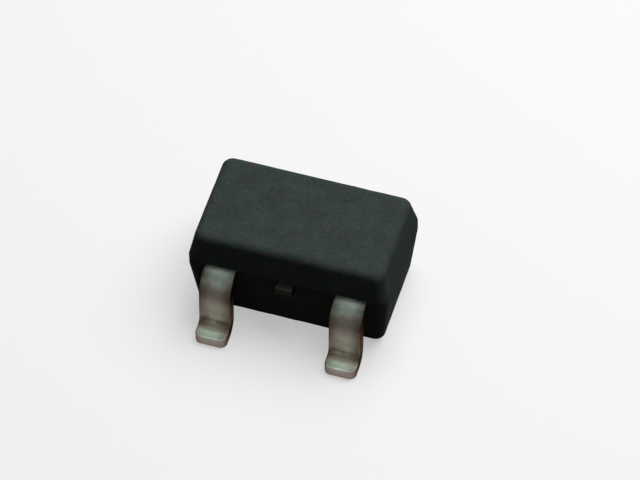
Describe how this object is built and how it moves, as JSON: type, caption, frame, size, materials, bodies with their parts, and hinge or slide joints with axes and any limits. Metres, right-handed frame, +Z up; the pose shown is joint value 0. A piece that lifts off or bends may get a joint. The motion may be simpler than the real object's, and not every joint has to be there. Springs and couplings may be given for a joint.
{
  "type": "surface-mount schottky diode",
  "caption": "Schottky barrier diode in a small moulded surface-mount package with gull-wing leads, soldered flat to a board.",
  "frame": {"origin": "centre of the footprint, on the board surface that the feet stand on", "axes": "+X along the body from the anode lead to the unconnected lead, +Y towards the single cathode lead, +Z up through the top face"},
  "size_m": [0.002, 0.002, 0.001],
  "materials": {
    "mould_compound": "fine matte, as moulded",
    "tinned_lead": "satin tin plate",
    "silver_epoxy": "matte",
    "silicon": "polished",
    "gold_wire": "bright drawn"
  },
  "bodies": {
    "root": {"epoxy_body": "mould_compound", "anode_lead": "tinned_lead", "unconnected_lead": "tinned_lead", "cathode_lead": "tinned_lead", "die_attach": "silver_epoxy", "schottky_die": "silicon", "bond_wire": "gold_wire"}
  },
  "joints": []
}
